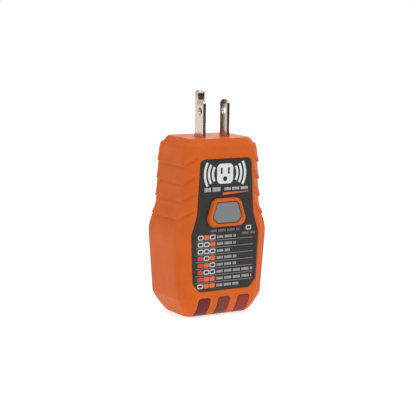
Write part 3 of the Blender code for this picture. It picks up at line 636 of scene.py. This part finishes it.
def make_front_shell(finish):
    shape = bmesh.new()
    loft(shape, outer_rings())
    shell = add_piece("front_shell_body", shape, finish["orange_housing"], 38)
    floor_y = LABEL_HIGH.y + 0.1
    rim = 0.3

    def cavity(tool):
        loft(tool, cavity_rings())

    def rear_opening(tool):
        outline = rounded(mirrored(grown(COVER_OUTLINE, FIT)))
        prism(tool, outline, "Y", BACK_Y - WALL - 1.5, BACK_Y + 1.0)

    def bosses(tool):
        root, board_back = FRONT_Y + WALL - 0.6, -1.9
        for place in BOSS_PLACES:
            turned(tool, "Y", place, ((BOSS_RADIUS, root), (BOSS_RADIUS, COVER_LOW.y - 0.3)), 24)
        for place in POST_PLACES:
            turned(tool, "Y", place, ((POST_RADIUS, root), (POST_RADIUS, board_back)), 24)

    def label_pocket(tool):
        stages = [(rim + 1.0, FRONT_Y - 1.0), (0.0, FRONT_Y + rim), (0.0, floor_y)]
        layers(tool, "Y", [(rounded(mirrored(grown(LABEL_OUTLINE, FIT + by))), y) for by, y in stages])

    def surround(tool):
        front = SURROUND_FRONT
        stages = [(-1.1, front), (-0.75, front + 0.06), (-0.4, front + 0.22), (-0.12, front + 0.5)]
        stages += [(0.0, front + 0.9), (0.12, floor_y + 0.5)]
        layers(tool, "Y", [(rounded(mirrored(trapezoid(SURROUND_SIZE, by))), y) for by, y in stages])

    def button_opening(tool):
        front = SURROUND_FRONT
        stages = [(1.0, front - 0.5), (0.5, front + 0.02), (0.2, front + 0.22)]
        stages += [(0.04, front + 0.55), (0.0, front + 1.0), (0.0, FRONT_Y + WALL + 2.0)]
        layers(tool, "Y", [(rounded(mirrored(trapezoid(BUTTON_SIZE, FIT + by))), y) for by, y in stages])

    def prong_openings(tool):
        flare, top = 0.25, BODY_HEIGHT
        steps = ((flare + 1.0, top + 1.0), (0.0, top - flare), (0.0, top - 7.0))
        for x in BLADE_X.values():
            stages = []
            for by, z in steps:
                width, depth = BLADE_THICK + 2 * (FIT + by), 2 * (BLADE_HALF + FIT + by)
                stages.append((rectangle(x, BLADE_Y, width, depth, 0.3, 3), z))
            layers(tool, "Z", stages)
        turned(tool, "Z", (0.0, PIN_Y), [(PIN_RADIUS + FIT + by, z) for by, z in steps])

    def lens_windows(tool):
        for centre in LENS_CENTRES.values():
            lens_window(tool, centre)

    def screw_holes(tool):
        for place in BOSS_PLACES:
            turned(tool, "Y", place, ((1.3, 2.0), (1.3, BACK_Y)), 16)
        for place in POST_PLACES:
            turned(tool, "Y", place, ((1.2, -9.0), (1.2, 0.0)), 16)

    steps = [("DIFFERENCE", label_pocket), ("UNION", surround)]
    steps += [("DIFFERENCE", cavity), ("DIFFERENCE", rear_opening), ("UNION", bosses)]
    steps += [("DIFFERENCE", button_opening), ("DIFFERENCE", prong_openings)]
    steps += [("DIFFERENCE", lens_windows), ("DIFFERENCE", screw_holes)]
    carve(shell, steps)
    soften(shell, 38)
    weigh_normals(shell)
    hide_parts("front_shell")


def make_rear_cover(finish):
    shape = bmesh.new()
    edge = 0.4
    back = COVER_HIGH.y
    stages = [(0.0, COVER_LOW.y), (0.0, back - edge), (-edge * 0.3, back - edge * 0.3), (-edge, back)]
    layers(shape, "Y", [(rounded(mirrored(grown(COVER_OUTLINE, by))), y) for by, y in stages])
    cover = add_piece("rear_cover_body", shape, finish["orange_housing"])
    middle_z = (RATING_LOW.z + RATING_HIGH.z) / 2
    width, height = RATING_HIGH.x - RATING_LOW.x, RATING_HIGH.z - RATING_LOW.z

    def recess(tool):
        stages = []
        for by, y in ((1.3, back + 1.0), (0.1, back - 0.2), (0.1, RATING_LOW.y - 0.1)):
            outline = rectangle(0.0, middle_z, width + by * 2, height + by * 2, RATING_CORNER)
            stages.append((outline, y))
        layers(tool, "Y", stages)

    def counterbores(tool):
        shank, head, seat = 1.5, 2.6, back - 1.9
        profile = [(shank, COVER_LOW.y - 1.0), (shank, seat), (head, seat)]
        profile += [(head, back - 0.2), (head + 1.2, back + 1.0)]
        for place in BOSS_PLACES:
            turned(tool, "Y", place, profile)

    carve(cover, [("DIFFERENCE", recess), ("DIFFERENCE", counterbores)])
    soften(cover, 35)
    weigh_normals(cover)
    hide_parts("rear_cover")

    shape = bmesh.new()
    film = rectangle(0.0, middle_z, width, height, RATING_CORNER)
    face = RATING_HIGH.y - 0.03
    prism(shape, film, "Y", RATING_LOW.y, face)
    rating = add_piece("rating_label_film", shape, finish["rating_film"])
    bevel(rating, 0.08)
    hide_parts("rating_label")
    shape = bmesh.new()
    lift = 0.02
    outer = rectangle(0.0, middle_z, width - 2.0, height - 2.0, 0.8)
    band(shape, outer, rectangle(0.0, middle_z, width - 2.6, height - 2.6, 0.6), face, lift)
    for row in range(3):
        end = width / 2 - 4.0 - 3.0 * row
        tick_row(shape, -width / 2 + 3.0, end, middle_z + 7.0 - 4.0 * row, 1.3, face, lift)
    border = add_piece("rating_label_print", shape, finish["ink_dark"])


def make_faceplate_label(finish):
    shape = bmesh.new()
    edge = 0.12
    stages = [(-edge, FRONT_Y), (0.0, FRONT_Y + edge), (0.0, LABEL_HIGH.y)]
    layers(shape, "Y", [(rounded(mirrored(grown(LABEL_OUTLINE, by))), y) for by, y in stages])
    label = add_piece("faceplate_label_film", shape, finish["label_film"])

    def hole(tool):
        outline = rounded(mirrored(trapezoid(SURROUND_SIZE, FIT + 0.15)))
        prism(tool, outline, "Y", FRONT_Y - 1.0, FRONT_Y + 1.0)

    carve(label, [("DIFFERENCE", hole)])
    soften(label, 35)
    weigh_normals(label)
    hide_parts("faceplate_label")


def make_lenses(finish):
    for name, centre in LENS_CENTRES.items():
        shape = bmesh.new()
        lens_body(shape, centre)
        lens = add_piece(name + "_body", shape, finish[name], 50)
        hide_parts(name)


def make_test_button(finish):
    front, back = CAP_LOW.y, CAP_HIGH.y
    lip_y = FRONT_Y + WALL + 0.3
    stages = [(-0.75, front), (-0.45, front + 0.05), (-0.2, front + 0.2), (-0.05, front + 0.5)]
    stages += [(0.0, front + 0.9), (0.0, lip_y)]
    stages += [(BUTTON_LIP, lip_y), (BUTTON_LIP, back)]
    shape = bmesh.new()
    layers(shape, "Y", [(rounded(mirrored(trapezoid(BUTTON_SIZE, by))), y) for by, y in stages])
    button = add_piece("test_button_cap", shape, finish["grey_button"], 40, "button")
    weigh_normals(button)
    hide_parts("test_button")


def make_switch_spring(finish):
    """Coil spring from the plunger back to its fixed rear end."""
    low, high = box_mm("switch_spring")
    radius = high.x - SPRING_WIRE
    start, end = high.y - SPRING_WIRE, low.y + SPRING_WIRE
    turn_steps, wire_steps = 28, 10
    count = round(SPRING_TURNS * turn_steps)
    along = Vector((0.0, 1.0, 0.0))
    rings = []
    for i in range(count + 1):
        turn = 2 * math.pi * i / turn_steps
        out = Vector((math.cos(turn), 0.0, math.sin(turn)))
        heart = Vector((0.0, start + (end - start) * i / count, BUTTON_Z)) + out * radius
        rings.append([heart + out * u + along * v for u, v in circle((0.0, 0.0), SPRING_WIRE, wire_steps)])
    shape = bmesh.new()
    loft(shape, rings)
    coil = add_piece("switch_spring_coil", shape, finish["zinc_steel"], 50)
    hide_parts("switch_spring")
    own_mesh(coil)


# ---------------------------------------------------------------- label print


INK_LIFT = 0.03


def band(shape, outer, inner, y, lift):
    """Flat closed band between two outlines of equally many points, standing proud of a face."""
    rows = []
    for outline, level in ((outer, y + lift), (outer, y - lift), (inner, y - lift), (inner, y + lift)):
        rows.append([shape.verts.new((u, level, v)) for u, v in outline])
    for first, second in zip(rows, rows[1:] + rows[:1]):
        for i in range(len(first)):
            j = (i + 1) % len(first)
            shape.faces.new((first[i], first[j], second[j], second[i]))


def ink(shape, outline):
    prism(shape, outline, "Y", FRONT_Y - INK_LIFT, FRONT_Y + INK_LIFT)


def tick_row(shape, start, end, z, height, y=None, lift=INK_LIFT):
    """Row of plain ticks in place of a line of print; every few ticks one is left out."""
    y = FRONT_Y if y is None else y
    pitch, width = 0.66, 0.33
    count = int((end - start) / pitch)
    for i in range(count):
        if i % 7 != 5:
            x = start + (i + 0.5) * (end - start) / count
            prism(shape, rectangle(x, z, width, height, 0.1, 2), "Y", y - lift, y + lift)


def arc_band(centre, radius, width, middle, reach, steps=16):
    """Outline of a curved bar, angles in degrees."""
    outline = []
    for r, order in ((radius + width / 2, 1), (radius - width / 2, -1)):
        for k in range(steps + 1)[::order]:
            turn = math.radians(middle + reach * (2 * k / steps - 1))
            outline.append((centre[0] + r * math.cos(turn), centre[1] + r * math.sin(turn)))
    return outline


LEGEND_TOP_Z = 37.9
LEGEND_PITCH = 3.225
LEGEND_X = (-13.1, -9.9, -6.7)
CELL = (2.95, 2.15, 0.62)
# One row per fault: each lamp off, amber or red, then where the row's print ends
LEGEND = (
    ("off", "amber", "off", 5.7),
    ("off", "off", "amber", 5.7),
    ("off", "off", "off", 2.6),
    ("red", "off", "amber", 6.2),
    ("red", "amber", "off", 6.1),
    ("red", "off", "off", 15.0),
    ("red", "amber", "amber", 14.5),
    ("off", "amber", "amber", 7.5),
)


def make_label_print(finish):
    inks = {name: bmesh.new() for name in ("white", "pale", "grey", "orange", "red", "black")}

    def unlit(x, z):
        width, height, radius = CELL
        inner = rectangle(x, z, width - 1.0, height - 1.0, 0.3)
        band(inks["pale"], rectangle(x, z, width, height, radius), inner, FRONT_Y, INK_LIFT)
        ink(inks["black"], inner)

    # Outlet face between signal arcs
    middle = (-0.6, 66.8)
    plate = rectangle(*middle, 8.6, 9.2, 2.2, 8)
    ink(inks["white"], plate)
    for x in (-1.9, 1.9):
        slot = rectangle(middle[0] + x, middle[1] + 1.3, 0.95, 2.9, 0.2, 2)
        prism(inks["black"], slot, "Y", FRONT_Y - 2 * INK_LIFT, FRONT_Y)
    prism(inks["black"], circle((middle[0], middle[1] - 2.4), 1.15, 24), "Y", FRONT_Y - 2 * INK_LIFT, FRONT_Y)
    for radius in (6.5, 8.6, 10.7):
        for side in (0, 180):
            ink(inks["white"], arc_band(middle, radius, 1.15, side, 30))

    tick_row(inks["white"], -11.5, -3.0, 59.75, 2.0)
    tick_row(inks["white"], -0.9, 12.5, 59.75, 1.35)
    ink(inks["orange"], [(-1.7, 56.95), (12.1, 57.95), (12.1, 58.25), (-1.7, 58.15)])
    tick_row(inks["grey"], -8.0, 7.7, 40.7, 1.15)
    unlit(12.5, 41.05)
    tick_row(inks["grey"], 9.2, 16.0, 38.6, 1.1)

    for row, (*lamps, print_end) in enumerate(LEGEND):
        z = LEGEND_TOP_Z - row * LEGEND_PITCH
        for x, lamp in zip(LEGEND_X, lamps):
            if lamp == "off":
                unlit(x, z)
            else:
                width, height, radius = CELL
                outer = rectangle(x, z, width, height, radius)
                ink(inks["orange" if lamp == "amber" else "red"], outer)
        tick_row(inks["pale"], -4.5, print_end, z - 0.1, 1.25)
        if row < len(LEGEND) - 1:
            ink(inks["grey"], rectangle(-0.25, z - LEGEND_PITCH / 2, 30.6, 0.22, 0.05, 1))
    for name, shape in inks.items():
        layer = add_piece("label_print_" + name, shape, finish["ink_" + name])


# ---------------------------------------------------------------- prongs and screws


def make_prongs(finish):
    tip = BLADE_HIGH.z
    shoulder_low, shoulder_high = SHOULDER_Z
    side = [(BLADE_HALF, tip, 2.1), (BLADE_HALF, shoulder_high, 0.2), (BLADE_HALF + 1.1, shoulder_high, 0.2)]
    side += [(BLADE_HALF + 1.1, shoulder_low, 0.2), (1.6, shoulder_low, 0.2), (1.6, BLADE_LOW.z, 0.3)]
    outline = [(BLADE_Y + u, v) for u, v in rounded(mirrored(side), 10)]
    for name, x in BLADE_X.items():
        shape = bmesh.new()
        prism(shape, outline, "X", x - BLADE_THICK / 2, x + BLADE_THICK / 2)
        blade = add_piece(name + "_body", shape, finish["nickel_plate"])

        def lead_in(tool, x=x):
            """Wedges that thin the tip on both broad faces."""
            taper, start = 0.42, 2.4
            for sign in (-1, 1):
                face = x + sign * BLADE_THICK / 2
                outside = face + sign
                corners = [(face, tip - start), (outside, tip - start), (outside, tip + 1.0)]
                corners.append((face - sign * taper * (start + 1.0) / start, tip + 1.0))
                layers(tool, "Y", [(corners, BLADE_Y - 4.0), (corners, BLADE_Y + 4.0)])

        def hole(tool, x=x):
            radius, flare = 1.7, 0.15
            left, right = x - BLADE_THICK / 2, x + BLADE_THICK / 2
            profile = [(radius + flare + 1.0, left - 1.0), (radius, left + flare)]
            profile += [(radius, right - flare), (radius + flare + 1.0, right + 1.0)]
            turned(tool, "X", (BLADE_Y, BLADE_HOLE_Z), profile)

        carve(blade, [("DIFFERENCE", lead_in), ("DIFFERENCE", hole)])
        bevel(blade, 0.13, 25)
        soften(blade, 40)
        weigh_normals(blade)
        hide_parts(name)
    tip = PIN_HIGH.z
    dome, flat = 1.6, 0.6
    profile = [(1.5, PIN_LOW.z), (1.5, shoulder_low), (3.0, shoulder_low), (3.0, shoulder_high)]
    profile += [(PIN_RADIUS, shoulder_high), (PIN_RADIUS, BODY_HEIGHT), (PIN_RADIUS, tip - dome - 3.0)]
    for degrees in range(0, 90, 10):
        turn = math.radians(degrees)
        profile.append((flat + (PIN_RADIUS - flat) * math.cos(turn), tip - dome + dome * math.sin(turn)))
    profile.append((flat, tip))
    profile.append((flat * 0.5, tip))
    shape = bmesh.new()
    turned(shape, "Z", (0.0, PIN_Y), profile, 64)
    pin = add_piece("ground_pin_body", shape, finish["nickel_plate"], 40)
    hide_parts("ground_pin")


def make_housing_screws(finish):
    for index in range(len(BOSS_PLACES)):
        node = "housing_screw_%d" % (index + 1)
        low, high = box_mm(node)
        x, z = (low.x + high.x) / 2, (low.z + high.z) / 2
        head = (high.x - low.x) / 2
        face = high.y
        profile = [(0.4, low.y), (0.95, low.y + 1.2), (0.95, face - 1.5)]
        profile += [(head, face - 1.5), (head, face - 0.6)]
        profile += [(head - 0.1, face - 0.35), (head - 0.4, face - 0.12), (head - 1.0, face), (0.2, face)]
        shape = bmesh.new()
        turned(shape, "Y", (x, z), profile)
        screw = add_piece(node + "_body", shape, finish["zinc_steel"])

        def slot(tool, width, height, x=x, z=z, face=face):
            stages = [(rectangle(x, z, width, height, 0.08, 2), face + 0.5)]
            stages.append((rectangle(x, z, width * 0.6, height * 0.7, 0.06, 2), face - 1.0))
            layers(tool, "Y", stages)

        long, short = head * 1.25, head * 0.3
        steps = [("DIFFERENCE", lambda tool: slot(tool, long, short))]
        steps.append(("DIFFERENCE", lambda tool: slot(tool, short, long)))
        carve(screw, steps)
        soften(screw, 35)
        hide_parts(node)


def finish_inner_nodes(finish):
    """Every CAD node keeps its shape and takes the procedural finish of its slot."""
    for row in frame["record"]["subparts"]:
        node = frame["nodes"][row["node"]]
        chosen = finish.get(row["material_slot"])
        if chosen is not None:
            node.data.materials.clear()
            node.data.materials.append(chosen)


# ---------------------------------------------------------------- studio


AIM = (-0.00199, -0.0017, 0.04926)
CAMERA_AZIMUTH = -30.9
CAMERA_ELEVATION = 8.75
CAMERA_ROLL = 0.8
CAMERA_DISTANCE = 0.6328
CAMERA_LENS = 117.87


def make_camera():
    azimuth, elevation, roll = (math.radians(a) for a in (CAMERA_AZIMUTH, CAMERA_ELEVATION, CAMERA_ROLL))
    flat = math.cos(elevation)
    back = Vector((math.sin(azimuth) * flat, -math.cos(azimuth) * flat, math.sin(elevation)))
    level = Vector((math.cos(azimuth), math.sin(azimuth), 0.0))
    raised = back.cross(level)
    right = level * math.cos(roll) + raised * math.sin(roll)
    up = raised * math.cos(roll) - level * math.sin(roll)
    camera = bpy.data.cameras.new("camera")
    camera.lens = CAMERA_LENS
    camera.sensor_width = 36.0
    camera.clip_start = 0.01
    made = bpy.data.objects.new("camera", camera)
    turn = Matrix((right, up, back)).transposed().to_4x4()
    made.matrix_world = Matrix.Translation(Vector(AIM) + back * CAMERA_DISTANCE) @ turn
    bpy.context.scene.collection.objects.link(made)
    bpy.context.scene.camera = made


TENT = (0.73, 0.73, 0.73)
AMBIENT = (0.56, 0.56, 0.56)


def make_floor():
    shape = bmesh.new()
    half, near, far, level = 3.0, -0.42, 3.0, -0.0002
    corners = ((-half, near), (half, near), (half, far), (-half, far))
    shape.faces.new([shape.verts.new((x, y, level)) for x, y in corners])
    mesh = bpy.data.meshes.new("floor")
    shape.to_mesh(mesh)
    shape.free()
    paint = Paint("floor_finish", 0.9)
    paint.colour(paint.blend(paint.noise(400.0, 2.0), (0.59, 0.59, 0.59), (0.61, 0.61, 0.61)))
    paint.set(Emission_Color=(1.0, 1.0, 1.0, 1.0), Emission_Strength=0.68)
    mesh.materials.append(paint.made)
    floor = bpy.data.objects.new("floor", mesh)
    bpy.context.scene.collection.objects.link(floor)


def make_world():
    """White tent; reflections see a dark band low in front and a warm one behind."""
    world = bpy.data.worlds.new("studio")
    bpy.context.scene.world = world
    world.use_nodes = True
    nodes, links = world.node_tree.nodes, world.node_tree.links
    split = nodes.new("ShaderNodeSeparateXYZ")
    links.new(nodes.new("ShaderNodeTexCoord").outputs["Generated"], split.inputs["Vector"])
    path = nodes.new("ShaderNodeLightPath")

    def ramp(socket, start, end):
        node = nodes.new("ShaderNodeMapRange")
        node.interpolation_type = "SMOOTHSTEP"
        node.inputs["From Min"].default_value = start
        node.inputs["From Max"].default_value = end
        links.new(split.outputs[socket], node.inputs["Value"])
        return node.outputs["Result"]

    def product(first, second):
        node = nodes.new("ShaderNodeMath")
        node.operation = "MULTIPLY"
        links.new(first, node.inputs[0])
        links.new(second, node.inputs[1])
        return node.outputs["Value"]

    def mixed(share, first, second):
        node = nodes.new("ShaderNodeMix")
        node.data_type = "RGBA"
        links.new(share, node.inputs["Factor"])
        for name, colour in (("A", first), ("B", second)):
            target = [s for s in node.inputs if s.name == name and s.type == "RGBA"][0]
            if isinstance(colour, tuple):
                target.default_value = (*colour, 1.0)
            else:
                links.new(colour, target)
        return [s for s in node.outputs if s.type == "RGBA"][0]

    dark = product(ramp("Y", 0.1, -0.35), ramp("Z", 0.5, 0.15))
    warm = product(product(ramp("X", -0.15, 0.05), ramp("X", 0.6, 0.45)), ramp("Y", 0.6, 0.8))
    mirrored_room = mixed(dark, mixed(warm, TENT, (0.45, 0.22, 0.14)), (0.04, 0.04, 0.04))
    lit = mixed(path.outputs["Is Glossy Ray"], AMBIENT, mirrored_room)
    links.new(mixed(path.outputs["Is Camera Ray"], lit, (1.0, 1.0, 1.0)), nodes["Background"].inputs["Color"])


def add_softbox(name, place, size, watts):
    light = bpy.data.lights.new(name, "AREA")
    light.shape = "SQUARE"
    light.size = size
    light.energy = watts
    made = bpy.data.objects.new(name, light)
    made.location = place
    made.rotation_euler = (Vector(place) - Vector(AIM)).to_track_quat("Z", "Y").to_euler()
    made.visible_camera = False
    bpy.context.scene.collection.objects.link(made)


def make_studio():
    make_camera()
    make_floor()
    make_world()
    add_softbox("overhead", (-0.1, -0.25, 1.1), 0.8, 4.9)
    add_softbox("front", (0.6, -1.0, 0.95), 0.6, 2.4)
    add_softbox("left", (-1.0, -0.3, 0.6), 0.6, 0.8)
    add_softbox("rim", (0.75, 0.9, 0.3), 0.5, 1.6)
    bpy.context.scene.view_settings.view_transform = "Standard"


# ---------------------------------------------------------------- everything


def main():
    make_studio()
    finish = make_finishes()
    lamp_y, lamp_z = FRONT_Y + 1.0, 6.6
    # Each lens: its deep tint, then the lighter painted-glow colour put in front of its lamp
    lens_tints_with_painted_glow = {
        "red_lens": ((0.10, 0.008, 0.011), (0.14, 0.012, 0.015)),
        "amber_lens_middle": ((0.12, 0.020, 0.010), (0.20, 0.040, 0.017)),
        "amber_lens_right": ((0.18, 0.016, 0.010), (0.27, 0.030, 0.018)),
    }
    for name, (deep, lit) in lens_tints_with_painted_glow.items():
        finish[name] = lens_finish_with_painted_glow(name + "_finish", deep, lit, (LENS_CENTRES[name], lamp_y, lamp_z))
    finish["ink_white"] = printed("ink_white_finish", (0.68, 0.69, 0.71))
    finish["ink_pale"] = printed("ink_pale_finish", (0.54, 0.54, 0.54))
    finish["ink_grey"] = printed("ink_grey_finish", (0.24, 0.24, 0.24))
    finish["ink_orange"] = printed("ink_orange_finish", (0.68, 0.115, 0.026))
    finish["ink_red"] = printed("ink_red_finish", (0.52, 0.036, 0.028))
    finish["ink_black"] = printed("ink_black_finish", (0.012, 0.012, 0.012), 0.2)
    finish["ink_dark"] = printed("ink_dark_finish", (0.12, 0.12, 0.12), 0.2)
    finish_inner_nodes(finish)
    make_front_shell(finish)
    make_rear_cover(finish)
    make_faceplate_label(finish)
    make_label_print(finish)
    make_lenses(finish)
    make_test_button(finish)
    make_switch_spring(finish)
    make_prongs(finish)
    make_housing_screws(finish)


main()
